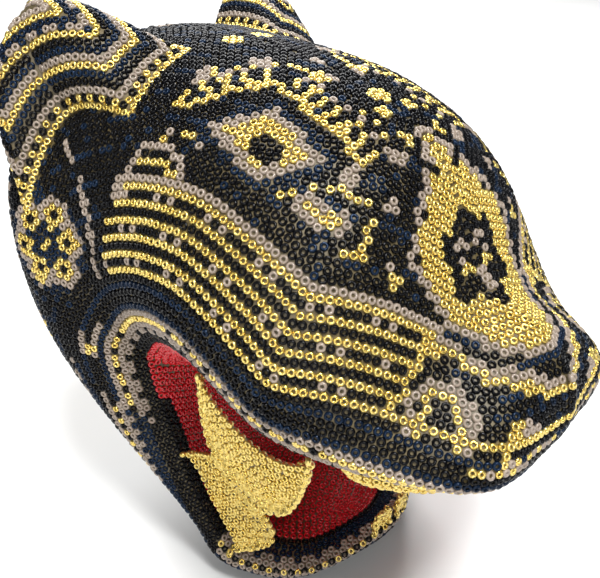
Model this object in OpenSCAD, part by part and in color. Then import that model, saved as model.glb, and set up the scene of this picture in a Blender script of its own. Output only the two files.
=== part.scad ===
// Beaded big cat head, wall hung: carved wood cores, a beeswax skin and rows of seed beads pressed in it.
// The face looks along -Y, up is +Z, and the wall plane is y = 0.

/* [Head] */
// Width across the cheeks, mm
head_width = 120; // [112:1:128]
// Length from the wall to the nose, mm
head_length = 139; // [132:1:146]
// Height from the chin to the crown, mm
head_height = 156; // [148:1:164]

/* [Back board] */
// Thickness of the flat board glued to the back, mm
board_thick = 5; // [5:0.5:7]
// Margin between the board's edge and the back edge of the head, mm
board_margin = 4; // [3:0.5:8]
// Diameter of the blind hanging hole, mm
hole_diameter = 7; // [5:0.5:9]
// Depth of the blind hanging hole, mm
hole_depth = 4; // [2.5:0.5:4]

/* [Skins] */
// Thickness of the beeswax, mm
wax_thick = 0.8; // [0.6:0.1:1.2]
// Height of the beads above the wax, mm
bead_thick = 1.2; // [1:0.1:1.5]

/* [Ears] */
// How far an ear stands up from the head, mm
ear_length = 20; // [18:1:24]
// Diameter of the dowel in an ear, mm
peg_diameter = 8; // [6:0.5:10]
// Length of the dowel, mm
peg_length = 22; // [16:1:24]

/* [Teeth] */
// Height of an upper fang, mm
upper_fang_height = 27; // [22:1:29]
// Height of a lower fang, mm
lower_fang_height = 20; // [15:1:22]
// Height of the front teeth, mm
front_tooth_height = 8; // [6:0.5:9]

/* [Hidden] */

per_station = 3;
rows_up = 8;
hair = 0.02;
seam = 0.02;
tiny = 0.001;
wood = -wax_thick - bead_thick;
nominal = [120, 139, 156];
fit = [head_width / nominal[0], (head_length - board_thick) / (nominal[1] - 5), head_height / nominal[2]];

// Each station is a rib of the right half: lip, low cheek, high cheek, crest.
ribs = [
  [[0, -124, -51], [0, -133, -48], [0, -137, -38], [0, -134, -26]],
  [[-25, -122, -44], [-36, -140, -43], [-14, -128, -24], [0, -125, -18]],
  [[-41, -106, -40], [-53, -119, -37], [-18, -112, -14], [0, -109, -8]],
  [[-46, -85, -40], [-61, -95, -24], [-34, -96, 16], [0, -95, 16]],
  [[-49, -64, -28], [-60, -67, -10], [-42, -69, 30], [0, -70, 28]],
  [[-46, -48, -31], [-60, -46, -6], [-44, -31, 33], [0, -34, 34]],
  [[-44, -40, -38], [-59, -32, -16], [-52, -9, 34], [0, 0, 33]],
  [[-44, -38, -44], [-57, -26, -38], [-60, -8, 2], [-46, 0, 12]],
  [[-42, -42, -63], [-52, -31, -62], [-59, -9, -33], [-52, 0, -26]],
  [[-41, -50, -84], [-47, -42, -84], [-51, -15, -59], [-38, 0, -54]],
  [[-39.5, -57, -97], [-45, -52, -100], [-37, -25, -74], [0, 0, -66]],
  [[-37, -64, -105], [-42, -60, -111], [-32, -38, -101], [0, -26, -89]],
  [[-25, -81, -106], [-27, -78, -113], [-20, -60, -116], [0, -52, -112]],
  [[0, -92, -98], [0, -92, -104], [0, -83, -113], [0, -70, -115]]
];
// The mouth's middle line, one point to a station, from the palate's front round to the floor's front
throat = [[0, -112, -50], [0, -106, -45], [0, -95, -42], [0, -80, -40], [0, -62, -40], [0, -46, -44],
          [0, -40, -50], [0, -37, -58], [0, -38, -68], [0, -44, -82], [0, -52, -92], [0, -60, -97],
          [0, -72, -101], [0, -84, -98]];
last = len(ribs) - 1;
top_corner = 6;
low_corner = 10;
split = 8;

function flip(p) = [-p[0], p[1], p[2]];
function unit(p) = p / max(norm(p), tiny);

// A smooth curve through list P at place t. Past an end it carries on as the mirrored half does.
function through(P, t, first, end, mirrored) =
  let (i = max(first, min(floor(t), end - 1)), f = t - i, b = P[i], c = P[i + 1],
       a = i > first ? P[i - 1] : (mirrored && first == 0 ? flip(c) : 2 * b - c),
       d = i < end - 1 ? P[i + 2] : (mirrored && end == last ? flip(b) : 2 * c - b))
  (2 * b + (c - a) * f + (2 * a - 5 * b + 4 * c - d) * f * f + (3 * b - a - 3 * c + d) * f * f * f) / 2;

lips = [for (r = ribs) r[0]];
low = [for (r = ribs) r[1]];
high = [for (r = ribs) r[2]];
crest = [for (r = ribs) r[3]];
function crest_at(u) =
  u <= top_corner ? through(crest, u, 0, top_corner, false)
  : u <= low_corner ? through(crest, u, top_corner, low_corner, false)
  : through(crest, u, low_corner, last, false);

function cubic(p, q, r, s, v) =
  (1 - v) * (1 - v) * (1 - v) * p + 3 * (1 - v) * (1 - v) * v * q + 3 * (1 - v) * v * v * r + v * v * v * s;

// Outside of the carving: u runs round the lips and v from the lip to the crest line.
function outside(u, v) =
  cubic(through(lips, u, 0, last, true), through(low, u, 0, last, true),
        through(high, u, 0, last, true), crest_at(u), v);

// Inside of the mouth: v runs from the lip to the mouth's middle line, and the lip rolls over smoothly.
lip_roll = 0.5;
function inside(u, v) =
  let (p = through(lips, u, 0, last, true), q = p + (p - through(low, u, 0, last, true)) * lip_roll,
       s = through(throat, u, 0, last, false))
  cubic(p, q, [0.75 * p[0], s[1], s[2]], s, v);

function place(mouth, u, v) = mouth ? inside(u, v) : outside(u, v);

// Outward direction at a point, kept in the middle plane and in the back plane where the skin ends on them
step = 0.02;
function outward(mouth, u, v) =
  let (a = max(step * 2, min(last - step * 2, u)), b = max(step, min(1 - step, v)),
       du = place(mouth, a + step, b) - place(mouth, a - step, b),
       dv = place(mouth, a, b + step / 2) - place(mouth, a, b - step / 2),
       n = (mouth ? 1 : -1) * cross(du, dv), p = place(mouth, u, v),
       at_middle = abs(p[0]) < tiny, at_back = abs(p[1]) < tiny)
  unit([at_middle ? 0 : n[0], at_back ? 0 : n[1], n[2]]);

function skin(mouth, side, u, v, d) =
  let (p = place(mouth, u, v) + d * outward(mouth, u, v),
       q = [p[0] * fit[0] * side, p[1] * fit[1] - board_thick, p[2] * fit[2]])
  q;

// Triangles whose corners have run together are left out
function wide(pts, f) = norm(pts[f[0]] - pts[f[1]]) > tiny && norm(pts[f[1]] - pts[f[2]]) > tiny
                        && norm(pts[f[2]] - pts[f[0]]) > tiny;

// Grid of points pulled in from its four edges by a small share of a cell, so that fields don't meet
function pulled(g, nu, nv, i, j) =
  let (w = nv + 1, p = g[i * w + j], a = i == 0 ? 1 : (i == nu ? -1 : 0), b = j == 0 ? 1 : (j == nv ? -1 : 0))
  p + seam * (g[(i + a) * w + j] - p) + seam * (g[i * w + j + b] - p);

// Closed solid between a lower and an upper grid of (nu + 1) x (nv + 1) points
module solid_between(lower, upper, nu, nv, turn) {
  w = nv + 1;
  layer = (nu + 1) * w;
  pts = [for (g = [lower, upper]) for (i = [0 : nu]) for (j = [0 : nv]) pulled(g, nu, nv, i, j)];
  quads = concat(
    [for (i = [0 : nu - 1]) for (j = [0 : nv - 1])
      [i * w + j, (i + 1) * w + j, (i + 1) * w + j + 1, i * w + j + 1]],
    [for (i = [0 : nu - 1]) for (j = [0 : nv - 1]) let (k = layer + i * w + j)
      [k + w, k, k + 1, k + w + 1]],
    [for (i = [0 : nu - 1]) [layer + i * w, layer + (i + 1) * w, (i + 1) * w, i * w]],
    [for (i = [0 : nu - 1]) [i * w + nv, (i + 1) * w + nv, layer + (i + 1) * w + nv, layer + i * w + nv]],
    [for (j = [0 : nv - 1]) [j + 1, layer + j + 1, layer + j, j]],
    [for (j = [0 : nv - 1]) [nu * w + j, layer + nu * w + j, layer + nu * w + j + 1, nu * w + j + 1]]);
  faces = [for (k = [0 : len(quads) - 1]) let (q = quads[k], second = k >= nu * nv && k < 2 * nu * nv)
             for (f = second
                      ? [[q[0], q[1], q[3]], [q[1], q[2], q[3]]]
                      : [[q[0], q[1], q[2]], [q[0], q[2], q[3]]])
               if (wide(pts, f)) turn ? f : [f[2], f[1], f[0]]];
  polyhedron(points = pts, faces = faces, convexity = 10);
}

function grid(mouth, side, u0, u1, v0, v1, nu, nv, d) =
  [for (i = [0 : nu]) for (j = [0 : nv])
     skin(mouth, side, u0 + (u1 - u0) * i / nu, v0 + (v1 - v0) * j / nv, d)];

// Half shell between depths d0 and d1 over u0..u1, v0..v1 of one side
module shell(mouth, side, u0, u1, v0, v1, d0, d1) {
  nu = max(1, round((u1 - u0) * per_station));
  nv = max(1, round((v1 - v0) * rows_up));
  solid_between(grid(mouth, side, u0, u1, v0, v1, nu, nv, d0),
                grid(mouth, side, u0, u1, v0, v1, nu, nv, d1),
                nu, nv, (side > 0) != mouth);
}
module wax(side, u0, u1, v0, v1, mouth = false) {
  color("khaki") shell(mouth, side, u0, u1, v0, v1, wood + hair, -bead_thick);
}
module beads(side, u0, u1, v0, v1, mouth = false) {
  shell(mouth, side, u0, u1, v0, v1, -bead_thick + hair, 0);
}

// Solid block of the carving from u0 to u1, closed over both sides, the mouth and the back
module block(u0, u1) {
  nu = round((u1 - u0) * per_station);
  n = rows_up;
  ring = 4 * n + 2;
  pts = [for (i = [0 : nu]) let (u = u0 + (u1 - u0) * i / nu)
           each concat([for (j = [n : -1 : 0]) skin(true, 1, u, j / n, wood)],
                       [for (j = [1 : n]) skin(false, 1, u, j / n, wood)],
                       [for (j = [n : -1 : 1]) skin(false, -1, u, j / n, wood)],
                       [for (j = [0 : n]) skin(true, -1, u, j / n, wood)])];
  // Outer right: the diagonal runs as it does in the shells; it is mirrored on the left
  walls = [for (i = [0 : nu - 1]) for (k = [0 : ring - 1])
             let (m = (k + 1) % ring, a = i * ring + k, b = i * ring + m, c = a + ring, d = b + ring,
                  lean = (k >= n && k < 2 * n) || (k >= 3 * n + 1))
             each (lean ? [[a, b, d], [a, d, c]] : [[a, b, c], [b, d, c]])];
  ends = [for (e = [0, 1]) let (o = e * nu * ring, c = o + 3 * n + 1)
            if (e == 0 ? u0 > 0 : u1 < last)
              each let (t = concat(
                [for (j = [0 : n - 1])
                   each [[o + n - j, o + n + j, o + n + j + 1],
                         [o + n - j, o + n + j + 1, o + n - j - 1]]],
                [for (j = [0 : n - 1]) each [[c - j, c + j, c + j + 1], [c - j, c + j + 1, c - j - 1]]],
                [[o, o + 2 * n, o + 2 * n + 1]]))
              [for (f = t) e == 1 ? f : [f[2], f[1], f[0]]]];
  // Triangles that lie in the middle plane have a twin from the other side, so both go
  faces = [for (f = concat(walls, ends))
             if (wide(pts, f) && max([for (k = f) abs(pts[k][0])]) > tiny) f];
  polyhedron(points = pts, faces = faces, convexity = 10);
}

// A swelling over a patch of skin: it rises along a slant to a rounded cone (ear) or a plate (tooth).
ear_patch = [5, 7, 0.625, 0.875];
ear_lean = [-0.42, 0.42, 0.8];
ear_cells = 10;
edge = 0.4;
function ear_rise(a, b) = ear_length * pow((1 - a * a) * (1 - b * b), 0.9);
function ear_at(side, a, b) =
  let (u = ear_patch[0] + (a + 1) / 2 * (ear_patch[1] - ear_patch[0]),
       v = ear_patch[2] + (b + 1) / 2 * (ear_patch[3] - ear_patch[2]), lift = ear_rise(a, b) * ear_lean)
  skin(false, side, u, v, wood) + [lift[0] * side, lift[1], lift[2]];
function ear_skin(side, a, b, d) =
  let (c = max(-0.98, min(0.98, a)), e = max(-0.98, min(0.98, b)),
       n = unit(cross(ear_at(side, c, e + step) - ear_at(side, c, e - step),
                      ear_at(side, c + step, e) - ear_at(side, c - step, e))) * side,
       up = skin(false, side, ear_patch[0] + (a + 1) / 2 * (ear_patch[1] - ear_patch[0]),
                 ear_patch[2] + (b + 1) / 2 * (ear_patch[3] - ear_patch[2]), d) - ear_at(side, a, b),
       t = max(abs(a), abs(b)), k = pow(t, 6))
  ear_at(side, a, b) + (abs(t) > 0.999 ? up : (n * (d - wood)) * (1 - k) + up * k);
function ear_grid(side, d) =
  [for (i = [0 : ear_cells]) for (j = [0 : ear_cells])
     ear_skin(side, 2 * i / ear_cells - 1, 2 * j / ear_cells - 1, d)];
module ear_layer(side, d0, d1) {
  solid_between(ear_grid(side, d0), ear_grid(side, d1), ear_cells, ear_cells, side > 0);
}
module ear_core(side) {
  color("burlywood") difference() {
    solid_between(
      [for (i = [0 : ear_cells]) for (j = [0 : ear_cells])
         skin(false, side, ear_patch[0] + i / ear_cells * (ear_patch[1] - ear_patch[0]),
              ear_patch[2] + j / ear_cells * (ear_patch[3] - ear_patch[2]), wood + hair)],
      ear_grid(side, wood + edge), ear_cells, ear_cells, side > 0);
    peg(side, peg_slack);
  }
}

// Dowel line of an ear: from inside the head out along the ear's lean
module along_ear(side) {
  foot = skin(false, side, (ear_patch[0] + ear_patch[1]) / 2, (ear_patch[2] + ear_patch[3]) / 2, wood);
  lean = unit([ear_lean[0] * side, ear_lean[1], ear_lean[2]]);
  translate(foot) rotate([0, acos(lean[2]), atan2(lean[1], lean[0])]) children();
}
peg_slack = 0.1;
module peg(side, slack) {
  along_ear(side) translate([0, 0, -peg_length / 2 - slack])
    cylinder(d = peg_diameter + 2 * slack, h = peg_length + 2 * slack, $fn = 48);
}

// A tooth stands on a patch of the mouth's lining and rises by height, domed along u
module tooth(side, u0, u1, v0, v1, height, way) {
  nu = 12;
  nv = 4;
  foot = grid(true, side, u0, u1, v0, v1, nu, nv, hair);
  top = [for (i = [0 : nu]) for (j = [0 : nv])
           let (a = 2 * i / nu - 1, b = 2 * j / nv - 1)
             skin(true, side, u0 + (u1 - u0) * i / nu, v0 + (v1 - v0) * j / nv, edge)
             + [way[0] * side, way[1], way[2]] * height
               * pow(1 - pow(abs(a), 3), 0.4) * pow(1 - b * b * 0.98, 0.35)];
  color("gold") solid_between(foot, top, nu, nv, side < 0);
}

module head_core() {
  color("burlywood") difference() {
    block(0, split);
    peg(1, peg_slack);
    peg(-1, peg_slack);
  }
}
module jaw_core() {
  color("tan") block(split, last);
}
module back_board() {
  n = 24;
  outline = [for (s = [1, -1]) for (i = [0 : n]) let (k = s > 0 ? i : n - i,
             p = skin(false, s, top_corner + (low_corner - top_corner) * k / n, 1, wood)) [p[0], p[2]]];
  mid = [0, -14];
  color("sienna") difference() {
    rotate([90, 0, 0]) translate([0, mid[1], hair])
      linear_extrude(board_thick - 2 * hair)
        polygon([for (i = [1 : 2 * n]) let (p = outline[i] - mid) p * (1 - board_margin / norm(p))]);
    rotate([90, 0, 0]) translate([0, 0, -1]) cylinder(d = hole_diameter, h = hole_depth + 1, $fn = 64);
  }
}
module wax_face_right() {
  wax(1, 0, 5, 0, 1);
}
module wax_face_left() {
  wax(-1, 0, 5, 0, 1);
}
module wax_side_right() {
  wax(1, 5, split, 0, 0.625);
}
module wax_side_left() {
  wax(-1, 5, split, 0, 0.625);
}
module wax_crown_right() {
  wax(1, 5, 7, 0.875, 1);
}
module wax_crown_left() {
  wax(-1, 5, 7, 0.875, 1);
}
module wax_nape_right() {
  wax(1, 7, split, 0.625, 1);
}
module wax_nape_left() {
  wax(-1, 7, split, 0.625, 1);
}
module wax_jaw_right() {
  wax(1, split, last, 0, 1);
}
module wax_jaw_left() {
  wax(-1, split, last, 0, 1);
}
module wax_mouth_right() {
  wax(1, 0, last, 0, 1, true);
}
module wax_mouth_left() {
  wax(-1, 0, last, 0, 1, true);
}
module upper_lip_beads_right() {
  color("gray") beads(1, 0, split, 0, 0.25);
}
module upper_lip_beads_left() {
  color("gray") beads(-1, 0, split, 0, 0.25);
}
module muzzle_beads_right() {
  color("goldenrod") beads(1, 0, 2, 0.25, 0.75);
}
module muzzle_beads_left() {
  color("goldenrod") beads(-1, 0, 2, 0.25, 0.75);
}
module nose_panel_beads_right() {
  color("gold") beads(1, 0, 2, 0.75, 1);
}
module nose_panel_beads_left() {
  color("gold") beads(-1, 0, 2, 0.75, 1);
}
module cheek_beads_right() {
  color("darkkhaki") beads(1, 2, 5, 0.25, 0.625);
}
module cheek_beads_left() {
  color("darkkhaki") beads(-1, 2, 5, 0.25, 0.625);
}
module brow_beads_right() {
  color("midnightblue") beads(1, 2, 5, 0.625, 1);
}
module brow_beads_left() {
  color("midnightblue") beads(-1, 2, 5, 0.625, 1);
}
module rear_cheek_beads_right() {
  color("slategray") beads(1, 5, split, 0.25, 0.625);
}
module rear_cheek_beads_left() {
  color("slategray") beads(-1, 5, split, 0.25, 0.625);
}
module crown_beads_right() {
  color("dimgray") beads(1, 5, 7, 0.875, 1);
}
module crown_beads_left() {
  color("dimgray") beads(-1, 5, 7, 0.875, 1);
}
module nape_beads_right() {
  color("navy") beads(1, 7, split, 0.625, 1);
}
module nape_beads_left() {
  color("navy") beads(-1, 7, split, 0.625, 1);
}
module lower_lip_beads_right() {
  color("gray") beads(1, split, last, 0, 0.25);
}
module lower_lip_beads_left() {
  color("gray") beads(-1, split, last, 0, 0.25);
}
module jaw_beads_right() {
  color("midnightblue") beads(1, split, last, 0.25, 1);
}
module jaw_beads_left() {
  color("midnightblue") beads(-1, split, last, 0.25, 1);
}
module mouth_lining_beads_right() {
  color("firebrick") beads(1, 0, last, 0, 1, true);
}
module mouth_lining_beads_left() {
  color("firebrick") beads(-1, 0, last, 0, 1, true);
}
module ear_peg_right() {
  color("peru") peg(1, 0);
}
module ear_peg_left() {
  color("peru") peg(-1, 0);
}
module ear_core_right() {
  ear_core(1);
}
module ear_wax_right() {
  color("khaki") ear_layer(1, wood + edge + hair, -bead_thick);
}
module ear_beads_right() {
  color("goldenrod") ear_layer(1, -bead_thick + hair, 0);
}
module upper_fang_right() {
  tooth(1, 2.4, 3.85, 0.03, 0.13, upper_fang_height, [0.08, 0.16, -1]);
}
module lower_fang_right() {
  tooth(1, 8.4, 10.6, 0.06, 0.2, lower_fang_height, [0.3, -0.9, 0.42]);
}
module upper_teeth_right() {
  tooth(1, 0.4, 2.1, 0.04, 0.2, front_tooth_height, [0, 0.15, -1]);
}
module lower_teeth_right() {
  tooth(1, 12.7, 12.95, 0.05, 0.3, front_tooth_height, [0, -0.1, 1]);
}
module ear_core_left() {
  ear_core(-1);
}
module ear_wax_left() {
  color("khaki") ear_layer(-1, wood + edge + hair, -bead_thick);
}
module ear_beads_left() {
  color("goldenrod") ear_layer(-1, -bead_thick + hair, 0);
}
module upper_fang_left() {
  tooth(-1, 2.4, 3.85, 0.03, 0.13, upper_fang_height, [0.08, 0.16, -1]);
}
module lower_fang_left() {
  tooth(-1, 8.4, 10.6, 0.06, 0.2, lower_fang_height, [0.3, -0.9, 0.42]);
}
module upper_teeth_left() {
  tooth(-1, 0.4, 2.1, 0.04, 0.2, front_tooth_height, [0, 0.15, -1]);
}
module lower_teeth_left() {
  tooth(-1, 12.7, 12.95, 0.05, 0.3, front_tooth_height, [0, -0.1, 1]);
}

head_core();
jaw_core();
back_board();
wax_face_right();
wax_face_left();
wax_side_right();
wax_side_left();
wax_crown_right();
wax_crown_left();
wax_nape_right();
wax_nape_left();
wax_jaw_right();
wax_jaw_left();
wax_mouth_right();
wax_mouth_left();
upper_lip_beads_right();
upper_lip_beads_left();
muzzle_beads_right();
muzzle_beads_left();
nose_panel_beads_right();
nose_panel_beads_left();
cheek_beads_right();
cheek_beads_left();
brow_beads_right();
brow_beads_left();
rear_cheek_beads_right();
rear_cheek_beads_left();
crown_beads_right();
crown_beads_left();
nape_beads_right();
nape_beads_left();
lower_lip_beads_right();
lower_lip_beads_left();
jaw_beads_right();
jaw_beads_left();
mouth_lining_beads_right();
mouth_lining_beads_left();
ear_peg_right();
ear_peg_left();
ear_core_right();
ear_wax_right();
ear_beads_right();
upper_fang_right();
lower_fang_right();
upper_teeth_right();
lower_teeth_right();
ear_core_left();
ear_wax_left();
ear_beads_left();
upper_fang_left();
lower_fang_left();
upper_teeth_left();
lower_teeth_left();
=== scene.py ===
"""Beaded big cat head: carved wood cores, a skin of beeswax, and seed beads pressed in it in rows."""

import bmesh
import bpy
import mathutils
import numpy as np
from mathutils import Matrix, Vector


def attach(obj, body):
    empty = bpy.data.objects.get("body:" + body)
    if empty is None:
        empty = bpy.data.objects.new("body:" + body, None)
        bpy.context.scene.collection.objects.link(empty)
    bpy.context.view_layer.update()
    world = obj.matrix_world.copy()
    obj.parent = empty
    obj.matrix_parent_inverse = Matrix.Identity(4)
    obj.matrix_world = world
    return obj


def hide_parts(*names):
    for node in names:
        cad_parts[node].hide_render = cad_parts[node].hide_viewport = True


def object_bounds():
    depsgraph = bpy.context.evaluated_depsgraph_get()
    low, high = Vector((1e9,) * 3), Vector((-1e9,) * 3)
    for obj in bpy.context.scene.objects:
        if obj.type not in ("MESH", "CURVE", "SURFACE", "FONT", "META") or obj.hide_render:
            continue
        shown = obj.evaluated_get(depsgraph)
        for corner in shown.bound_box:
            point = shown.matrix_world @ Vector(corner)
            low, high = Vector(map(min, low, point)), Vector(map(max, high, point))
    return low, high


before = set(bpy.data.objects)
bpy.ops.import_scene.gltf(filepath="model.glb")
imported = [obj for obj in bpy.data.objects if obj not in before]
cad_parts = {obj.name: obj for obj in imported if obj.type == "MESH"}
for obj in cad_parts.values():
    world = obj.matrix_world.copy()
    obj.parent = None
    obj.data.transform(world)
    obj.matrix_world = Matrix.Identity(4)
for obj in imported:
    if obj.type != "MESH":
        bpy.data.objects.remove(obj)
cad_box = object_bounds()

# ---------------------------------------------------------------------------------------------
# Carving. The head is one block of softwood and the jaw another, glued behind the mouth corner.
# Fourteen ribs give its right half: lip, low cheek, high cheek and crest, in millimetres.
# ---------------------------------------------------------------------------------------------
WALL_GAP = 5.0
RIBS = np.array([
    [[0, -124, -51], [0, -133, -48], [0, -137, -38], [0, -134, -26]],
    [[-25, -122, -44], [-36, -140, -43], [-14, -128, -24], [0, -125, -18]],
    [[-41, -106, -40], [-53, -119, -37], [-18, -112, -14], [0, -109, -8]],
    [[-46, -85, -40], [-61, -95, -24], [-34, -96, 16], [0, -95, 16]],
    [[-49, -64, -28], [-60, -67, -10], [-42, -69, 30], [0, -70, 28]],
    [[-46, -48, -31], [-60, -46, -6], [-44, -31, 33], [0, -34, 34]],
    [[-44, -40, -38], [-59, -32, -16], [-52, -9, 34], [0, 0, 33]],
    [[-44, -38, -44], [-57, -26, -38], [-60, -8, 2], [-46, 0, 12]],
    [[-42, -42, -63], [-52, -31, -62], [-59, -9, -33], [-52, 0, -26]],
    [[-41, -50, -84], [-47, -42, -84], [-51, -15, -59], [-38, 0, -54]],
    [[-39.5, -57, -97], [-45, -52, -100], [-37, -25, -74], [0, 0, -66]],
    [[-37, -64, -105], [-42, -60, -111], [-32, -38, -101], [0, -26, -89]],
    [[-25, -81, -106], [-27, -78, -113], [-20, -60, -116], [0, -52, -112]],
    [[0, -92, -98], [0, -92, -104], [0, -83, -113], [0, -70, -115]],
], float)
THROAT = np.array([
    [0, -112, -50], [0, -106, -45], [0, -95, -42], [0, -80, -40], [0, -62, -40], [0, -46, -44],
    [0, -40, -50], [0, -37, -58], [0, -38, -68], [0, -44, -82], [0, -52, -92], [0, -60, -97],
    [0, -72, -101], [0, -84, -98]], float)
LAST, TOP_CORNER, LOW_CORNER = len(RIBS) - 1, 6, 10
FLIP = np.array([-1.0, 1.0, 1.0])


def through(points, t, first=0, end=LAST, mirrored=True):
    """Catmull-Rom curve through the points first..end at t; past an end it goes on as its mirror image."""
    own = points[first:end + 1]
    before = FLIP * own[1] if mirrored and first == 0 else 2 * own[0] - own[1]
    after = FLIP * own[-2] if mirrored and end == LAST else 2 * own[-1] - own[-2]
    row = np.vstack([before, own, after])
    i = np.clip(np.floor(t).astype(int) - first, 0, end - first - 1)
    f = (t - first - i)[..., None]
    a, b, c, d = row[i], row[i + 1], row[i + 2], row[i + 3]
    return (2 * b + (c - a) * f + (2 * a - 5 * b + 4 * c - d) * f**2 + (3 * b - a - 3 * c + d) * f**3) / 2


def crest(u):
    """Middle line over the face, then the back edge between the two corners, then the throat line."""
    line = RIBS[:, 3]
    top = through(line, np.minimum(u, TOP_CORNER), 0, TOP_CORNER, False)
    back = through(line, np.clip(u, TOP_CORNER, LOW_CORNER), TOP_CORNER, LOW_CORNER, False)
    low = through(line, np.maximum(u, LOW_CORNER), LOW_CORNER, LAST, False)
    return np.where((u <= TOP_CORNER)[..., None], top, np.where((u <= LOW_CORNER)[..., None], back, low))


def cubic(p, q, r, s, v):
    """Cubic Bezier curve: the four points weighed by the powers of v and 1 - v."""
    v = v[..., None]
    return (1 - v)**3 * p + 3 * (1 - v)**2 * v * q + 3 * (1 - v) * v**2 * r + v**3 * s


def outside(u, v):
    """Finished outside of the head: u counts ribs round the lips, v goes from the lip to the crest."""
    u, v = np.broadcast_arrays(np.asarray(u, float), np.asarray(v, float))
    return cubic(through(RIBS[:, 0], u), through(RIBS[:, 1], u), through(RIBS[:, 2], u), crest(u), v)


LIP_ROLL = 0.5


def inside(u, v):
    """Finished lining of the mouth: v goes from the lip, which it rolls over, to its middle line."""
    u, v = np.broadcast_arrays(np.asarray(u, float), np.asarray(v, float))
    p = through(RIBS[:, 0], u)
    q = p + (p - through(RIBS[:, 1], u)) * LIP_ROLL
    s = through(THROAT, u, mirrored=False)
    return cubic(p, q, np.stack([0.75 * p[..., 0], s[..., 1], s[..., 2]], -1), s, v)


def outward(surface, u, v, e=0.02):
    """Unit normal from central differences, kept in the middle plane and the back plane at the seams."""
    u, v = np.broadcast_arrays(np.asarray(u, float), np.asarray(v, float))
    a, b = np.clip(u, 2 * e, LAST - 2 * e), np.clip(v, e, 1 - e)
    du = surface(a + e, b) - surface(a - e, b)
    dv = surface(a, b + e / 2) - surface(a, b - e / 2)
    n = (-1 if surface is outside else 1) * np.cross(du, dv)
    if surface in (outside, inside):
        p = surface(u, v)
        n[..., 0] = np.where(np.abs(p[..., 0]) < 1e-3, 0, n[..., 0])
        n[..., 1] = np.where(np.abs(p[..., 1]) < 1e-3, 0, n[..., 1])
    return n / np.maximum(np.linalg.norm(n, axis=-1, keepdims=True), 1e-9)


def in_metres(p):
    """From the carving's millimetres to the frame's metres, clear of the wall by the board's thickness."""
    return (p + np.array([0, -WALL_GAP, 0])) * 0.001


# ---------------------------------------------------------------------------------------------
# Rows of beads. Work starts at the lip: the first row follows its edge, and each new row nests
# in the gaps of the row before it, so every row keeps one distance from the lip.
# ---------------------------------------------------------------------------------------------
# bead to bead along a row, row to row, and lip to first row, in millimetres
ALONG, ACROSS, FIRST = 2.06, 1.9, 0.9


def from_lip(surface, nu=391, nv=121):
    """Distance over the surface from the lip at each grid point: the shortest path in short steps."""
    u, v = np.meshgrid(np.linspace(0, LAST, nu), np.linspace(0, 1, nv), indexing="ij")
    p = surface(u, v)
    d = np.full((nu, nv), 1e9)
    d[:, 0] = 0
    steps = [(i, j) for i in range(-3, 4) for j in range(-3, 4) if np.gcd(i, j) == 1]
    links = []
    for i, j in steps:
        a = (slice(max(0, -i), nu - max(0, i)), slice(max(0, -j), nv - max(0, j)))
        b = (slice(max(0, i), nu + min(0, i)), slice(max(0, j), nv + min(0, j)))
        links.append((a, b, np.linalg.norm(p[a] - p[b], axis=-1)))
    for _ in range(400):
        old = d.copy()
        for a, b, length in links:
            d[a] = np.minimum(d[a], d[b] + length)
        if np.abs(old - d).max() < 1e-6:
            break
    return u, v, p, d


def spaced(t, length, start, end):
    """Places along one row: where the gaps add up to a spare bead, one more goes in, and where they fall
    short one comes out; then the row is eased to even gaps. It stops half a bead from the middle plane."""
    lo, hi = 0.5 * ALONG, length - 0.5 * ALONG
    if start:
        t = np.r_[lo, t[t > lo + 0.7 * ALONG]]
    if end and hi > lo:
        t = np.r_[t[t < hi - 0.7 * ALONG], hi]
    if len(t) == 0:
        t = np.array([length / 2])
    if not start:
        t = np.r_[np.arange(t[0] - ALONG, 0.2 * ALONG, -ALONG)[::-1], t]
    if not end:
        t = np.r_[t, np.arange(t[-1] + ALONG, length - 0.2 * ALONG, ALONG)]
    spare = (t - t[0]) / ALONG - np.arange(len(t))
    step = np.diff(np.round(spare - np.median(spare))).astype(int)
    extra = [a + (b - a) * np.arange(1, m + 1) / (m + 1) for a, b, m in zip(t[:-1], t[1:], step) if m > 0]
    t = np.sort(np.concatenate([t[np.r_[True, step >= 0]]] + extra))
    for _ in range(24):
        t[1:-1] += 0.4 * (t[:-2] + t[2:] - 2 * t[1:-1])
    return t


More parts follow.
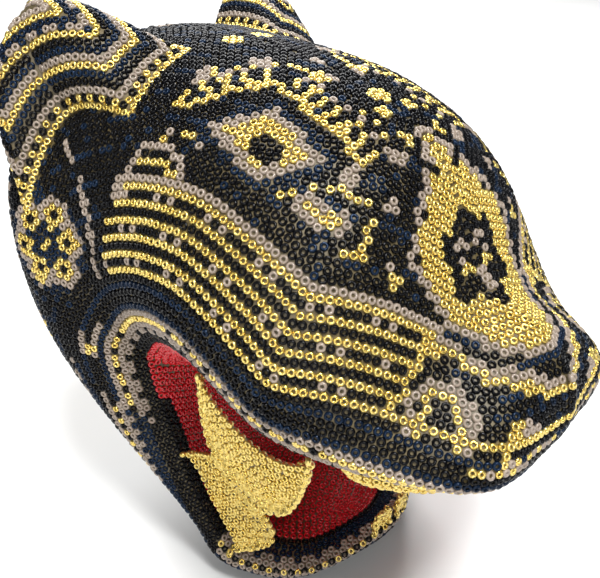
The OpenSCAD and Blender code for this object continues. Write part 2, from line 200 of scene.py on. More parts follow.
def lay_rows(surface, count, nu=391, nv=121):
    """Nested rows at equal steps from the lip: row, u, v, place and number along the row of each bead."""
    u, v, p, d = from_lip(surface, nu, nv)
    rim = d[:, -1]
    beads, before = [], np.empty((0, 3))
    for k in range(count):
        level = FIRST + k * ACROSS
        past = d >= level
        j = np.maximum(past.argmax(1), 1)
        i = np.arange(len(j))
        f = (level - d[i, j - 1]) / np.maximum(d[i, j] - d[i, j - 1], 1e-9)
        there = past.any(1) & (f >= 0)
        height = (j - 1 + f) / (nv - 1)
        cuts = np.flatnonzero(np.diff(np.r_[0, there.astype(int), 0]))
        row = []
        for a, b in zip(cuts[::2], cuts[1::2]):
            if b - a < 3:
                continue
            fine = np.linspace(a, b - 1, (b - a) * 6)
            uu, vv = np.interp(fine, i, u[:, 0]), np.interp(fine, i[a:b], height[a:b])
            if a > 0:
                g = np.clip((level - rim[a - 1]) / max(rim[a] - rim[a - 1], 1e-6), 0, 1)
                uu, vv = np.r_[u[a - 1, 0] + g * (u[a, 0] - u[a - 1, 0]), uu], np.r_[1.0, vv]
            if b < nu:
                g = np.clip((level - rim[b]) / max(rim[b - 1] - rim[b], 1e-6), 0, 1)
                uu, vv = np.r_[uu, u[b, 0] + g * (u[b - 1, 0] - u[b, 0])], np.r_[vv, 1.0]
            q = surface(uu, vv)
            arc = np.r_[0, np.cumsum(np.linalg.norm(np.diff(q, axis=0), axis=1))]
            if arc[-1] < 0.8 * ALONG:
                continue
            t = np.empty(0)
            if len(before):
                gap = np.linalg.norm(np.diff(before, axis=0), axis=1)
                mid = (0.5 * (before[1:] + before[:-1]))[gap < 1.5 * ALONG]
                if len(mid):
                    far = np.linalg.norm(mid[:, None] - q[None], axis=2)
                    t = np.sort(arc[far.argmin(1)][far.min(1) < 1.3 * ALONG])
            closed = np.linalg.norm(q[0] - q[-1]) < 0.5
            t = spaced(t, arc[-1], closed or abs(q[0, 0]) < 0.3, closed or abs(q[-1, 0]) < 0.3)
            t = t[(t > 0) & (t < arc[-1])]
            place = np.stack([np.interp(t, arc, uu), np.interp(t, arc, vv)], 1)
            spot_on = surface(place[:, 0], place[:, 1])
            row.append(np.c_[np.full(len(t), k), place, spot_on, np.arange(len(t))])
        if row:
            row = np.vstack(row)
            before = row[:, 3:6]
            beads.append(row)
    return np.vstack(beads)


BLACK, BLUE, TAUPE, GOLD, RED = range(5)
random = np.random.default_rng(11)

# ---------------------------------------------------------------------------------------------
# Face. Black and midnight beads fill it; stripes run back from the muzzle and small signs are set
# among them: an arch, a flower, an eye, a comb over the brow and a rosette behind the cheek.
# ---------------------------------------------------------------------------------------------
BACK_EDGE = -1.2
EAR_MIDDLE, EAR_HALF, EAR_GAP = (6.0, 0.75), (1.0, 0.125), (0.98, 0.122)
face = lay_rows(outside, 62)
face = face[face[:, 4] < BACK_EDGE]
under_ear = np.all(np.abs(face[:, 1:3] - EAR_MIDDLE) < EAR_GAP, axis=1)
face = face[~under_ear]
row, u, v, order = face[:, 0].astype(int), face[:, 1], face[:, 2], face[:, 6].astype(int)
at = face[:, 3:6]
upper = u < 8.0


def spot(places):
    """Points of the face at the given places (ribs counted from the nose, height from lip to crest)."""
    places = np.atleast_2d(np.asarray(places, float))
    return outside(places[:, 0], places[:, 1])


def near(place, reach):
    """Beads within reach of one place."""
    return np.linalg.norm(at - spot(place), axis=1) < reach


def line(places, loop=False):
    """Fine points along a line through the places, and the length up to each."""
    places = np.asarray(places, float)
    if loop:
        places = np.vstack([places, places[:1]])
    t = np.linspace(0, len(places) - 1, 40 * (len(places) - 1) + 1)
    p = spot(np.stack([np.interp(t, np.arange(len(places)), c) for c in places.T], 1))
    return p, np.r_[0, np.cumsum(np.linalg.norm(np.diff(p, axis=0), axis=1))]


def along(places, loop=False):
    """Distance of each bead from a line, and how far along the line it is."""
    p, length = line(places, loop)
    far = np.linalg.norm(at[:, None] - p[None], axis=2)
    return far.min(1), length[far.argmin(1)]


def within(places):
    """Beads inside a closed outline, by counting how often a line towards the crest crosses it."""
    q = np.asarray(places, float)
    hit = np.zeros(len(u), bool)
    for (a, b), (c, d) in zip(q, np.roll(q, -1, 0)):
        if a != c:
            hit ^= ((a > u) != (c > u)) & (v < (d - b) * (u - a) / (c - a) + b)
    return hit


face_colour = np.full(len(face), BLACK)
midnight = (row % 4 == 1) & (random.random(len(row)) < 0.5) | (random.random(len(row)) < 0.08)
face_colour[midnight] = BLUE


def paint(where, colour):
    """Sets the colour of the chosen beads."""
    face_colour[where] = colour


def dotted(where, step, dot, colour):
    """Colours the chosen beads, with a dot at every step-th one of its row."""
    face_colour[where] = np.where(order[where] % step == 0, dot, colour)


# lip bands, from the lip outwards
paint(upper & (row == 0), BLACK)
dotted(upper & (row == 1), 3, BLACK, TAUPE)
paint(upper & (row == 2), TAUPE)
dotted(upper & (row == 3), 3, BLACK, GOLD)
paint(upper & (row == 3) & ((u > 4.4) & (u < 6.2) | (u < 2.2)), GOLD)
paint(upper & (row == 4), TAUPE)
paint(upper & (row == 5), BLUE)
paint(upper & (row > 5) & (row < 10), BLACK)
paint(upper & (row == 8), BLUE)

# cheek stripes
stripe_end = np.interp(row, [10, 14, 18, 21], [5.45, 5.3, 5.0, 4.88])
stripe_start = np.where(row == 10, 0.0, 2.1)
striped = upper & (row >= 10) & (row <= 21) & (u < stripe_end) & (u > stripe_start)
paint(striped, BLACK)
paint(striped & (row % 2 == 0), GOLD)
pair = striped & np.isin(row, [11, 15, 19])
paint(pair & (np.isin((order + 2 * row) % 7, [0, 2])) & (u > 2.2), TAUPE)
paint(striped & (row == 21), TAUPE)
paint(upper & (row >= 19) & (row <= 21) & (np.abs(u - stripe_end) < 0.07), TAUPE)
paint(upper & (row > 10) & (row < 20) & (u > 1.96) & (u < 2.13), GOLD)

# panel over the nose, with its taupe edge, black notches and flower
panel_edge = [(3.3, 1.0), (2.98, 0.962), (2.79, 0.907), (2.65, 0.82), (2.54, 0.758), (2.24, 0.757),
              (1.85, 0.757), (1.42, 0.81), (0.97, 0.885), (0.72, 1.0)]
panel = within(panel_edge + [(0.72, 1.2), (3.3, 1.2)])
edge, edge_run = along(panel_edge)
paint(panel, GOLD)
notch = (edge > 1.0) & (edge < 3.1) & (edge_run % 11.0 < 2.3) & (edge_run < 40) & panel
paint(notch, BLACK)
paint(edge < 1.0, TAUPE)
paint((edge < 1.0) & (edge_run % 11.0 < 1.6) & (edge_run < 33), BLACK)
centre = spot((2.10, 1.0))[0]
rise = spot((2.3, 1.0))[0] - spot((1.7, 1.0))[0]
rise /= np.linalg.norm(rise)
lift, side_step = (at - centre) @ rise, at[:, 0]
radius, turn = np.hypot(lift, 1.08 * side_step), np.arctan2(side_step, lift)
flower = (radius < 10.6 + 1.8 * np.cos(6 * turn)) & (np.linalg.norm(at - centre, axis=1) < 14)
paint(flower, BLACK)
spoke = np.round(turn / (np.pi / 3)) * np.pi / 3
loop = np.hypot(lift - 5.0 * np.cos(spoke), 1.08 * side_step - 5.0 * np.sin(spoke))
petal = flower & (loop < 2.3) & (loop > 1.0)
paint(petal & (np.cos(3 * spoke) > 0), GOLD)
paint(petal & (np.cos(3 * spoke) < 0), TAUPE)
paint(flower & (radius < 1.3), GOLD)

# nose: midnight leather edged by a gold bar that drops beside the nostril
nose_row = row - np.round(np.interp(u, [0, 0.7, 1.5, 2.2], [14.5, 15.5, 18.5, 21.0])).astype(int)
nose = upper & (u < 2.15) & ~panel & (edge > 1.0)
paint(nose & (nose_row > 0), BLACK)
paint(nose & (nose_row > 0) & (row % 3 == 0), BLUE)
paint(nose & (nose_row == 0), TAUPE)
paint(nose & (nose_row == -1), GOLD)
bar, _ = along([(0.95, 0.60), (1.03, 0.46)])
paint((bar < 1.6) & (nose_row < 0), GOLD)
wedge = within([(0.90, 0.62), (0.55, 0.62), (0.80, 0.50)])
paint(wedge & (nose_row < 0), TAUPE)
crease, crease_run = along([(0.25, 0.56), (0.75, 0.42), (1.30, 0.355)])
paint(crease < 1.0, np.where(crease_run[crease < 1.0] % 5 < 2.6, GOLD, TAUPE))
pad = upper & (row > 10) & (row < 20) & (u < 0.62) & (v > 0.3)
paint(pad & (row % 2 == 0) & (crease > 2.0) & (v < 0.62), GOLD)

# arch on the whisker pad, standing on the base line
arch = [(1.93, 0.415), (2.0, 0.5), (1.94, 0.58), (1.75, 0.615), (1.53, 0.585), (1.42, 0.51), (1.4, 0.44)]
post, _ = along(arch)
inner = [(1.84, 0.415), (1.9, 0.495), (1.86, 0.555), (1.74, 0.585), (1.6, 0.56), (1.51, 0.5),
         (1.49, 0.44)]
inner_post, _ = along(inner)
niche = within(arch)
whisker_pad = within([(2.05, 0.36), (2.05, 0.64), (1.28, 0.62), (1.28, 0.38)])
paint(whisker_pad & (row > 10) & (nose_row < -1), BLACK)
paint(niche, BLACK)
paint(post < 1.15, TAUPE)
paint((inner_post < 1.0) & ~(post < 1.15), GOLD)
paint((row == 10) & upper & (u < 5.45), GOLD)

# eye: a lozenge of gold in a taupe frame round a dark triangle
lozenge = [(4.28, 0.677), (4.01, 0.785), (3.48, 0.745), (3.79, 0.633)]
frame_line, _ = along(lozenge, True)
pupil = np.linalg.norm(at - spot((3.84, 0.70)), axis=1)
halo = (frame_line > 1.0) & (frame_line < 3.0)
paint(halo, BLUE)
paint(within(lozenge), GOLD)
paint(frame_line < 1.15, TAUPE)
paint(pupil < 3.3, BLACK)

# comb over the brow: teeth of three gold beads with a taupe tip, and lone gold beads between them
brow = [(4.70, 0.700), (4.55, 0.705), (4.40, 0.782), (4.20, 0.852), (3.65, 0.828), (3.22, 0.805)]
comb, comb_run = along(brow)
comb_line, comb_length = line(brow)
foot = comb_line[np.abs(comb_length[None] - comb_run[:, None]).argmin(1)]
eye = spot((3.86, 0.703))
above = np.linalg.norm(at - eye, axis=1) > np.linalg.norm(foot - eye, axis=1)
run_end = (comb_run > 0.6) & (comb_run < comb_length[-1] - 0.4)
step = comb_run % 4.4
tooth_row = above & (comb > 0.9) & (step < 2.1)
paint(tooth_row & (comb < 6.6) & run_end, GOLD)
paint(tooth_row & (comb >= 6.6) & (comb < 8.4) & run_end, TAUPE)
paint(above & (np.abs(step - 3.3) < 0.9) & (comb > 8.6) & (comb < 10.3) & run_end, GOLD)
paint(comb < 1.05, GOLD)

# small signs between brow and crown
small_signs = [
    (TAUPE, 2.4, [(4.67, 0.805), (4.48, 0.905), (4.3, 1.0)]),
    (GOLD, 2.6, [(4.08, 0.943), (4.9, 0.96), (3.5, 0.96), (3.7, 1.0)]),
    (TAUPE, 2.2, [(3.08, 0.888), (3.24, 0.77)]),
    (GOLD, 2.2, [(3.18, 0.945)]),
    (TAUPE, 1.9, [(2.86, 0.79)]),
    (GOLD, 1.9, [(2.58, 0.69)]),
    (GOLD, 1.4, [(4.62, 0.82), (3.02, 0.76), (4.4, 0.64)]),
    (TAUPE, 1.3, [(4.02, 0.96), (2.66, 0.7), (4.3, 0.622)]),
]
for colour, reach, places in small_signs:
    for place in places:
        paint(near(place, reach), colour)
lid, lid_run = along([(3.55, 0.633), (3.42, 0.690), (3.21, 0.728), (3.00, 0.745)])
paint((lid < 1.0) & (lid_run % 6.2 < 4.4), GOLD)
bloom, _ = along([(3.36, 0.655), (3.10, 0.668)])
paint(bloom < 2.7, TAUPE)
paint(bloom < 1.1, GOLD)
hook, _ = along([(2.92, 0.725), (2.84, 0.655), (2.98, 0.640)])
paint(hook < 1.0, GOLD)
brow_bow, _ = along([(4.85, 0.510), (4.74, 0.565), (4.52, 0.590), (4.36, 0.575), (4.29, 0.545)])
bow_fill, _ = along([(4.74, 0.520), (4.56, 0.552), (4.38, 0.535)])
paint(brow_bow < 1.1, TAUPE)
paint(bow_fill < 0.9, GOLD)

# rosette behind the cheek, and marks down the jaw's hinge
hub = spot((6.79, 0.495))[0]
up_axis = spot((6.6, 0.6))[0] - hub
facing = outward(outside, 6.79, 0.495)
up_axis -= facing * (up_axis @ facing)
up_axis /= np.linalg.norm(up_axis)
cross_axis = np.cross(facing, up_axis)
hx, hy = (at - hub) @ cross_axis, (at - hub) @ up_axis
reach, angle = np.hypot(hx, hy), np.arctan2(hy, hx)
rosette = (reach < 14) & (np.abs((at - hub) @ facing) < 8)
petal = np.round(angle / (np.pi / 3)) * np.pi / 3
petal_distance = np.hypot(hx - 7.6 * np.cos(petal), hy - 7.6 * np.sin(petal))
paint(rosette & (reach < 13), BLUE)
paint(rosette & (petal_distance < 5.0) & (reach > 7.0), TAUPE)
paint(rosette & (petal_distance < 3.3), GOLD)
paint(rosette & (petal_distance < 1.1), BLACK)
paint(rosette & (reach < 1.2), GOLD)
for places in [[(5.62, 0.46), (5.55, 0.34), (5.75, 0.24)], [(6.0, 0.56), (5.75, 0.5)],
               [(7.42, 0.27), (6.72, 0.2)], [(7.55, 0.36), (7.3, 0.33)]]:
    mark, _ = along(places)
    paint(mark < 1.05, TAUPE)
paint(near((7.38, 0.30), 2.0), GOLD)
rim = upper & (at[:, 1] > -3.4)
paint(rim & (order % 2 == 0), TAUPE)

# lower lip and jaw: bands round the lip, then sparse lines towards the throat
jaw = ~upper
paint(jaw & (row == 0), BLACK)
paint(jaw & (row == 1), BLACK)
paint(jaw & np.isin(row, [2, 3]), BLUE)
dotted(jaw & (row == 4), 2, TAUPE, BLUE)
paint(jaw & (row == 5), TAUPE)
dotted(jaw & (row == 6), 2, GOLD, BLACK)
paint(jaw & (row == 7), TAUPE)
paint(jaw & (row > 8) & (row % 5 == 0), BLUE)
dotted(jaw & (row == 11), 3, BLACK, TAUPE)
dotted(jaw & (row == 16), 3, BLACK, GOLD)
paint(jaw & (row == 17), TAUPE)
chin = u > 10.4
paint(chin & (row < 10), BLACK)
paint(chin & np.isin(row, [0, 4]), TAUPE)
paint(chin & np.isin(row, [1, 4]) & (order % 2 == 0), BLUE)

# ---------------------------------------------------------------------------------------------
# Mouth. Its hollow is lined with red beads from the gums to the throat, in rows that follow the
# lip; black and midnight bands of the lower lip carry on over the front of the jaw.
# ---------------------------------------------------------------------------------------------
lining = lay_rows(inside, 34)
lining = lining[lining[:, 4] < BACK_EDGE]
lining_colour = np.full(len(lining), RED)
gum, jaw_side, tally = lining[:, 0].astype(int), lining[:, 1], lining[:, 6].astype(int)
lining_colour[(gum < 1) & (jaw_side < 7.6)] = BLACK
lining_colour[(gum < 3) & (jaw_side >= 7.6)] = BLACK
front = jaw_side > 10.2
lining_colour[front & (gum == 0)] = np.where(tally[front & (gum == 0)] % 2 == 0, GOLD, BLACK)
lining_colour[front & (gum == 1)] = TAUPE
lining_colour[front & (gum == 2)] = np.where(tally[front & (gum == 2)] % 3 == 0, BLUE, TAUPE)
lining_colour[front & np.isin(gum, [3, 4])] = BLUE
lining_colour[front & (gum == 5)] = BLACK

# ---------------------------------------------------------------------------------------------
# Ears. Each is a softwood cone on a dowel, its beads laid in rings from the skull to the tip.
# ---------------------------------------------------------------------------------------------
EAR_LENGTH, EAR_LEAN = 20.0, np.array([-0.42, 0.42, 0.8])
SKIN = 2.0  # wax and beads over the wood


def ear_skin(a, b):
    """Outside of an ear: the skull's skin lifted by two parabolas that fall to nothing at a and b of one,
    plus the skin's own thickness across the slope."""
    def wooden(a, b):
        u, v = EAR_MIDDLE[0] + a * EAR_HALF[0], EAR_MIDDLE[1] + b * EAR_HALF[1]
        p = outside(u, v) - outward(outside, u, v) * SKIN
        rise = EAR_LENGTH * np.maximum((1 - a**2) * (1 - b**2), 0)**0.9
        return p + rise[..., None] * EAR_LEAN
    e = 0.02
    c, d = np.clip(a, -1 + e, 1 - e), np.clip(b, -1 + e, 1 - e)
    n = np.cross(wooden(c, d + e) - wooden(c, d - e), wooden(c + e, d) - wooden(c - e, d))
    n /= np.linalg.norm(n, axis=-1, keepdims=True)
    u, v = EAR_MIDDLE[0] + a * EAR_HALF[0], EAR_MIDDLE[1] + b * EAR_HALF[1]
    k = (np.maximum(np.abs(a), np.abs(b))**6)[..., None]
    base = wooden(a, b)
    return base + n * SKIN * (1 - k) + (outside(u, v) - base) * k


def ear(u, v):
    """The same skin in rings: u goes once round, v from the skull to the tip, squares becoming circles."""
    u, v = np.broadcast_arrays(np.asarray(u, float), np.asarray(v, float))
    turn = 0.94 - u / LAST * 2 * np.pi
    blend = (1 - v)[..., None]
    circle = np.stack([np.cos(turn), np.sin(turn)], -1)
    square = circle / np.abs(circle).max(-1, keepdims=True)
    flat = 1 - v[..., None]
    spread = flat * (blend**0.5 * square + (1 - blend**0.5) * circle)
    return ear_skin(np.clip(spread[..., 0], -1, 1), np.clip(spread[..., 1], -1, 1))


ear_beads = lay_rows(ear, 16, 260, 90)
ring, ring_order = ear_beads[:, 0].astype(int), ear_beads[:, 6].astype(int)
ring_plan = np.array([GOLD, BLACK, TAUPE, BLACK, BLUE, GOLD, TAUPE, BLUE, BLACK, GOLD, TAUPE, BLUE,
                      GOLD, TAUPE, TAUPE, TAUPE, TAUPE, TAUPE])
ear_colour = ring_plan[ring]
ear_colour[(ring == 1) & (ring_order % 2 == 0)] = GOLD
ear_colour[(ring == 10) & (ring_order % 3 == 0)] = BLUE

# ---------------------------------------------------------------------------------------------
# Teeth. Softwood plates glued to the gums, wrapped in gold beads: a fang above and one below on
# each side, and a low row of small teeth along the front of both jaws.
# ---------------------------------------------------------------------------------------------


def tooth(u0, u1, v0, v1, height, way):
    """Skin of one tooth: a patch of the mouth's lining lifted one way, domed along, steep across."""
    way = np.array(way, float)

    def skin(u, v):
        u, v = np.broadcast_arrays(np.asarray(u, float), np.asarray(v, float))
        a, b = np.sin((u / LAST - 0.5) * np.pi * 0.99), np.sin((v - 0.5) * np.pi * 0.99)
        p, q = u0 + (u1 - u0) * (a + 1) / 2, v0 + (v1 - v0) * (b + 1) / 2
        rise = height * (1 - np.abs(a)**3)**0.4 * (1 - 0.98 * b * b)**0.35
        return inside(p, q) + rise[..., None] * way
    return skin


teeth = {
    "upper_fang": tooth(2.4, 3.85, 0.03, 0.13, 27, (0.08, 0.16, -1)),
    "lower_fang": tooth(8.4, 10.6, 0.06, 0.20, 20, (0.3, -0.9, 0.42)),
    "upper_teeth": tooth(0.4, 2.1, 0.04, 0.20, 8, (0, 0.15, -1)),
    "lower_teeth": tooth(12.7, 12.95, 0.05, 0.30, 8, (0, -0.1, 1)),
}
tooth_beads = {name: lay_rows(skin, 40, 161, 81) for name, skin in teeth.items()}


# ---------------------------------------------------------------------------------------------
# Seed beads. Small glass rings, about two millimetres across, pressed upright into the wax with
# the hole facing out. Every bead sits a little differently, and each colour has its own size.
# ---------------------------------------------------------------------------------------------
# radius and height of a bead's cut, in millimetres, from inside the hole over the rim to the wax
BEAD_PROFILE = np.array([[0.36, -0.50], [0.47, -0.12], [0.73, 0.0], [0.97, -0.24], [1.02, -0.68],
                         [0.80, -1.25]])
BEAD_SIDES = 8
BEAD_SIZE = {BLACK: 1.02, BLUE: 1.0, TAUPE: 1.04, GOLD: 1.01, RED: 0.97}


def beadwork(name, places, normals, size, tilt=0.09):
    """One mesh of closed rings: the profile turned round each bead's own axis, which leans at random."""
    count, sides, deep = len(places), BEAD_SIDES, len(BEAD_PROFILE)
    lean = normals + random.normal(0, tilt, (count, 3))
    axis = lean / np.linalg.norm(lean, axis=1, keepdims=True)
    helper = np.where(np.abs(axis[:, 2:3]) < 0.8, [[0, 0, 1.0]], [[1.0, 0, 0]])
    first = np.cross(axis, helper)
    first /= np.linalg.norm(first, axis=1, keepdims=True)
    second = np.cross(axis, first)
    turn = np.arange(sides) / sides * 2 * np.pi + random.random((count, 1)) * 2 * np.pi
    spoke = np.cos(turn)[..., None] * first[:, None] + np.sin(turn)[..., None] * second[:, None]
    wide = size * (1 + random.normal(0, 0.025, (count, 1, 1, 1)))
    out = BEAD_PROFILE[:, 0][None, None, :, None] * wide * spoke[:, :, None]
    up = (BEAD_PROFILE[:, 1][None, None, :, None] * size) * axis[:, None, None]
    sunk = random.uniform(-0.14, 0.0, (count, 1, 1, 1)) * axis[:, None, None]
    points = places[:, None, None] + out + up + sunk
    i, j = np.meshgrid(np.arange(sides), np.arange(deep), indexing="ij")
    i2, j2 = (i + 1) % sides, (j + 1) % deep
    quad = np.stack([i * deep + j, i * deep + j2, i2 * deep + j2, i2 * deep + j], -1).reshape(-1, 4)
    quads = (quad[None] + (np.arange(count) * sides * deep)[:, None, None]).reshape(-1, 4)
    piece = surface_piece(name, in_metres(points.reshape(-1, 3)), quads)
    tint = piece.data.attributes.new("tint", "FLOAT", "POINT")
    tint.data.foreach_set("value", np.repeat(random.random(count), sides * deep).astype(np.float32))
    return piece


def surface_piece(name, points, quads):
    """A mesh object from whole arrays of points and four-sided faces, shaded smooth."""
    mesh = bpy.data.meshes.new(name)
    mesh.vertices.add(len(points))
    mesh.vertices.foreach_set("co", points.astype(np.float32).ravel())
    mesh.loops.add(quads.size)
    mesh.loops.foreach_set("vertex_index", quads.astype(np.int32).ravel())
    mesh.polygons.add(len(quads))
    mesh.polygons.foreach_set("loop_start", np.arange(0, quads.size, 4, dtype=np.int32))
    mesh.polygons.foreach_set("use_smooth", np.ones(len(quads), bool))
    mesh.update(calc_edges=True)
    mesh.validate()
    piece = bpy.data.objects.new(name, mesh)
    bpy.context.scene.collection.objects.link(piece)
    return piece


def variation_group():
    """Shader group: mixes two colours by a bead's own tint and by slow noise, and varies the roughness."""
    group = bpy.data.node_groups.new("glass_variation", "ShaderNodeTree")
    socket = group.interface.new_socket
    for label in ("Colour", "Other"):
        socket(name=label, in_out="INPUT", socket_type="NodeSocketColor")
    for label in ("Smooth", "Worn"):
        socket(name=label, in_out="INPUT", socket_type="NodeSocketFloat")
    socket(name="Colour", in_out="OUTPUT", socket_type="NodeSocketColor")
    socket(name="Roughness", in_out="OUTPUT", socket_type="NodeSocketFloat")
    nodes, links = group.nodes, group.links
    start, end = nodes.new("NodeGroupInput"), nodes.new("NodeGroupOutput")
    own = nodes.new("ShaderNodeAttribute")
    own.attribute_name = "tint"
    place = nodes.new("ShaderNodeTexCoord")
    cloud = nodes.new("ShaderNodeTexNoise")
    cloud.inputs["Scale"].default_value = 260
    cloud.inputs["Detail"].default_value = 3
    links.new(place.outputs["Object"], cloud.inputs["Vector"])
    both = nodes.new("ShaderNodeMath")
    both.operation = "MULTIPLY_ADD"
    links.new(cloud.outputs["Fac"], both.inputs[0])
    both.inputs[1].default_value = 0.7
    links.new(own.outputs["Fac"], both.inputs[2])
    half = nodes.new("ShaderNodeMath")
    half.operation = "MULTIPLY"
    half.inputs[1].default_value = 0.6
    half.use_clamp = True
    links.new(both.outputs[0], half.inputs[0])
    mix = nodes.new("ShaderNodeMix")
    mix.data_type = "RGBA"
    links.new(half.outputs[0], mix.inputs["Factor"])
    links.new(start.outputs["Colour"], mix.inputs[6])
    links.new(start.outputs["Other"], mix.inputs[7])
    rough = nodes.new("ShaderNodeMix")
    links.new(half.outputs[0], rough.inputs["Factor"])
    links.new(start.outputs["Smooth"], rough.inputs[2])
    links.new(start.outputs["Worn"], rough.inputs[3])
    links.new(mix.outputs[2], end.inputs["Colour"])
    links.new(rough.outputs[0], end.inputs["Roughness"])
    return group


glass_variation = variation_group()


def bead_material(name, colour, other, smooth, worn, metallic=0.0, coat=0.0, bend=1.45):
    """Glass or metal-lined bead: the shared variation feeds its colour and roughness."""
    material = bpy.data.materials.new(name)
    material.use_nodes = True
    nodes, links = material.node_tree.nodes, material.node_tree.links
    shader = nodes["Principled BSDF"]
    group = nodes.new("ShaderNodeGroup")
    group.node_tree = glass_variation
    group.inputs["Colour"].default_value = (*colour, 1)
    group.inputs["Other"].default_value = (*other, 1)
    group.inputs["Smooth"].default_value = smooth
    group.inputs["Worn"].default_value = worn
    links.new(group.outputs["Colour"], shader.inputs["Base Color"])
    links.new(group.outputs["Roughness"], shader.inputs["Roughness"])
    shader.inputs["Metallic"].default_value = metallic
    shader.inputs["Coat Weight"].default_value = coat
    shader.inputs["Coat Roughness"].default_value = 0.08
    shader.inputs["IOR"].default_value = bend
    return material


bead_look = {
    GOLD: bead_material("gold_lined_glass", (0.66, 0.46, 0.085), (0.86, 0.68, 0.22), 0.22, 0.34, 0.85, 0.25),
    TAUPE: bead_material("taupe_glass", (0.235, 0.185, 0.145), (0.31, 0.25, 0.20), 0.28, 0.42, coat=0.2),
    BLACK: bead_material("black_glass", (0.0015, 0.0015, 0.002), (0.004, 0.004, 0.005), 0.08, 0.16,
                         bend=1.22),
    BLUE: bead_material("midnight_glass", (0.003, 0.006, 0.014), (0.009, 0.022, 0.05), 0.14, 0.26, 0.35,
                        bend=1.25),
    RED: bead_material("red_glass", (0.44, 0.003, 0.008), (0.60, 0.010, 0.018), 0.16, 0.30, coat=0.4),
}
bead_name = {GOLD: "gold", TAUPE: "taupe", BLACK: "black", BLUE: "blue", RED: "red"}


def both_sides(p):
    """The right half's points or directions followed by their mirror images."""
    return np.vstack([p, p * FLIP])


def press(zone, surface, beads, colours, nodes):
    """Presses one zone's beads into the wax, both sides of the head, as one piece for each colour."""
    normal = outward(surface, beads[:, 1], beads[:, 2])
    for colour in np.unique(colours):
        chosen = colours == colour
        piece = beadwork(f"{zone}_{bead_name[colour]}", both_sides(beads[chosen, 3:6]),
                         both_sides(normal[chosen]), BEAD_SIZE[colour])
        piece.data.materials.append(bead_look[colour])
        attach(piece, "root")
        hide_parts(*[f"{node}_{side}" for node in nodes for side in ("right", "left")])


zones = {
    "muzzle": (u < 2, ["upper_lip_beads", "muzzle_beads", "nose_panel_beads"]),
    "cheek": ((u >= 2) & (u < 5) & (v < 0.6), ["cheek_beads"]),
    "brow": ((u >= 2) & (u < 5) & (v >= 0.6), ["brow_beads"]),
    "rear": ((u >= 5) & (u < 8), ["rear_cheek_beads", "crown_beads", "nape_beads"]),
    "jaw": (u >= 8, ["lower_lip_beads", "jaw_beads"]),
}
for zone, (where, nodes) in zones.items():
    press(zone, outside, face[where], face_colour[where], nodes)
mouth_parts = {"palate": jaw_side < 4.5, "cheek_lining": (jaw_side >= 4.5) & (jaw_side < 8.5),
               "floor_of_mouth": jaw_side >= 8.5}
for part, where in mouth_parts.items():
    press(part, inside, lining[where], lining_colour[where], ["mouth_lining_beads"])
press("ear", ear, ear_beads, ear_colour, ["ear_beads"])
for name, skin in teeth.items():
    press(name, skin, tooth_beads[name], np.full(len(tooth_beads[name]), GOLD), [name])

# ---------------------------------------------------------------------------------------------
# Wax. A warm layer of beeswax and pine resin, thumbed over the wood; the beads squeeze it up
# between them, so it shows as a ground just under their shoulders. Its colour is the wax's own khaki
# painted much darker, as painted shade in the narrow gaps between the beads.
# ---------------------------------------------------------------------------------------------
WAX_DEPTH = 0.72  # below the tops of the beads


def sheet(surface, nu, nv, depth, lip=None):
    """Grid over a surface, sunk by depth; both halves, with faces wound to look outwards."""
    gu, gv = np.meshgrid(np.linspace(0, LAST, nu), np.linspace(0, 1, nv), indexing="ij")
    n = outward(surface, gu, gv)
    if lip is not None:
        shared = n[:, 0] + outward(lip, gu[:, 0], gv[:, 0])
        n[:, 0] = shared / np.linalg.norm(shared, axis=1, keepdims=True)
    p = (surface(gu, gv) - n * depth).reshape(-1, 3)
    i, j = np.meshgrid(np.arange(nu - 1), np.arange(nv - 1), indexing="ij")
    k = (i * nv + j).ravel()
    quads = np.stack([k, k + nv, k + nv + 1, k + 1], 1)
    if surface is outside:
        quads = quads[:, ::-1]
    return both_sides(p), np.vstack([quads, quads[:, ::-1] + len(p)])


def wax_piece(name, sheets, nodes):
    """Joins sheets into one skin and welds the seams where their edges meet."""
    total, points, quads = 0, [], []
    for p, q in sheets:
        points.append(p)
        quads.append(q + total)
        total += len(p)
    piece = surface_piece(name, in_metres(np.vstack(points)), np.vstack(quads))
    skin = bmesh.new()
    skin.from_mesh(piece.data)
    bmesh.ops.remove_doubles(skin, verts=skin.verts, dist=1e-6)
    skin.to_mesh(piece.data)
    skin.free()
    piece.data.materials.append(wax)
    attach(piece, "root")
    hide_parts(*[f"{node}_{side}" for node in nodes for side in ("right", "left")])


def procedural(name, dark, light, scale, stretch, rough, bump):
    """Natural material: two colours mixed by stretched noise in the object's own space, with relief."""
    material = bpy.data.materials.new(name)
    material.use_nodes = True
    nodes, links = material.node_tree.nodes, material.node_tree.links
    shader = nodes["Principled BSDF"]
    place, turn = nodes.new("ShaderNodeTexCoord"), nodes.new("ShaderNodeMapping")
    turn.inputs["Scale"].default_value = stretch
    cloud, ramp = nodes.new("ShaderNodeTexNoise"), nodes.new("ShaderNodeValToRGB")
    cloud.inputs["Scale"].default_value = scale
    cloud.inputs["Detail"].default_value = 5
    ramp.color_ramp.elements[0].color = (*dark, 1)
    ramp.color_ramp.elements[1].color = (*light, 1)
    ramp.color_ramp.elements[0].position, ramp.color_ramp.elements[1].position = 0.3, 0.7
    relief = nodes.new("ShaderNodeBump")
    relief.inputs["Strength"].default_value = bump
    relief.inputs["Distance"].default_value = 0.0004
    links.new(place.outputs["Object"], turn.inputs["Vector"])
    links.new(turn.outputs["Vector"], cloud.inputs["Vector"])
    links.new(cloud.outputs["Fac"], ramp.inputs["Fac"])
    links.new(ramp.outputs["Color"], shader.inputs["Base Color"])
    links.new(cloud.outputs["Fac"], relief.inputs["Height"])
    links.new(relief.outputs["Normal"], shader.inputs["Normal"])
    shader.inputs["Roughness"].default_value = rough
    return material
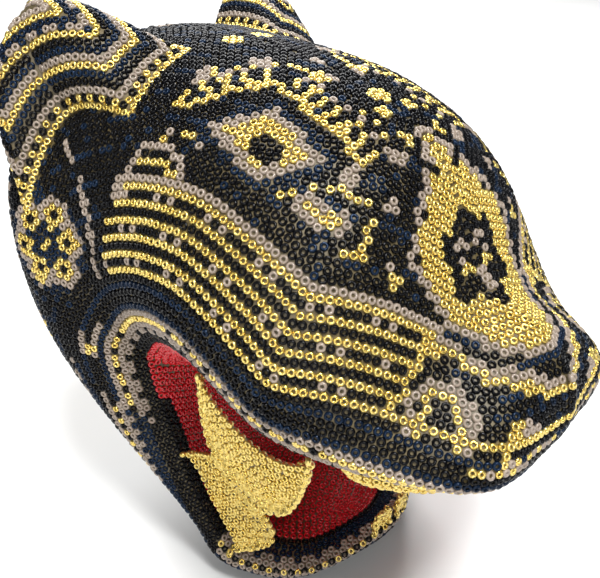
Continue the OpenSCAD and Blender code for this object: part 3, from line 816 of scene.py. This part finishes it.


# painted shade: the wax's khaki is set much darker than the wax itself, for the shade between the beads
wax = procedural("beeswax", (0.055, 0.042, 0.018), (0.14, 0.105, 0.045), 90, (1, 1, 1), 0.5, 0.4)
softwood = procedural("softwood", (0.42, 0.26, 0.13), (0.66, 0.47, 0.27), 60, (1, 1, 0.12), 0.6, 0.3)
head_sheets = [sheet(outside, 157, 41, WAX_DEPTH, inside), sheet(inside, 157, 41, WAX_DEPTH, outside)]
wax_piece("head_wax", head_sheets,
          ["wax_face", "wax_side", "wax_crown", "wax_nape", "wax_jaw", "wax_mouth"])
wax_piece("ear_wax_skin", [sheet(ear, 61, 25, WAX_DEPTH)], ["ear_wax"])
for name, skin in teeth.items():
    wax_piece(name + "_wax", [sheet(skin, 41, 31, WAX_DEPTH)], [name])

# ---------------------------------------------------------------------------------------------
# Wood. The carved cores, ear cones, dowels and the board behind the head are bare softwood,
# with the grain running up the head; only the board is left in sight.
# ---------------------------------------------------------------------------------------------
for node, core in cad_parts.items():
    if node.startswith(("head_core", "jaw_core", "back_board", "ear_core", "ear_peg")):
        core.data.materials.clear()
        core.data.materials.append(softwood)

# ---------------------------------------------------------------------------------------------
# Studio. A pale plaster floor under the chin, a soft light overhead, a low fill in front of the
# face and a broad wash over the floor behind, and the camera to the front right of the head.
# ---------------------------------------------------------------------------------------------
low = cad_box[0][2]
floor = surface_piece("floor", np.array([[-3, -3, low], [3, -3, low], [3, 3, low], [-3, 3, low]], float),
                      np.array([[0, 1, 2, 3]]))
plaster = procedural("pale_floor", (0.80, 0.80, 0.79), (0.84, 0.84, 0.83), 4, (1, 1, 1), 0.7, 0.05)
floor.data.materials.append(plaster)

world = bpy.data.worlds.new("studio")
bpy.context.scene.world = world
world.use_nodes = True
world.node_tree.nodes["Background"].inputs["Color"].default_value = (0.95, 0.97, 1.0, 1)
world.node_tree.nodes["Background"].inputs["Strength"].default_value = 0.16


def softbox(name, place, target, size, power):
    """Square area light at place, facing target."""
    lamp = bpy.data.lights.new(name, "AREA")
    lamp.size, lamp.energy = size, power
    lamp_object = bpy.data.objects.new(name, lamp)
    lamp_object.location = place
    beam = mathutils.Vector(target) - mathutils.Vector(place)
    lamp_object.rotation_euler = beam.to_track_quat("-Z", "Y").to_euler()
    bpy.context.scene.collection.objects.link(lamp_object)


bpy.context.scene.view_settings.view_transform = "Standard"
softbox("overhead", (-0.16, -0.42, 0.80), (0, -0.07, 0), 0.26, 12)
softbox("front_fill", (-0.7, -0.35, 0.25), (0, -0.07, -0.02), 0.3, 2.2)
softbox("floor_wash", (0.9, 0.9, 1.3), (0.6, 0.6, -0.11), 1.2, 40)

eye_point, sight = mathutils.Vector((-0.130, -0.177, 0.060)), mathutils.Vector((0.656, 0.591, -0.469))
lens = bpy.data.cameras.new("camera")
lens.lens, lens.sensor_width, lens.clip_start = 42, 36, 0.01
camera = bpy.data.objects.new("camera", lens)
camera.location = eye_point
camera.rotation_euler = sight.to_track_quat("-Z", "Y").to_euler()
bpy.context.scene.collection.objects.link(camera)
bpy.context.scene.camera = camera
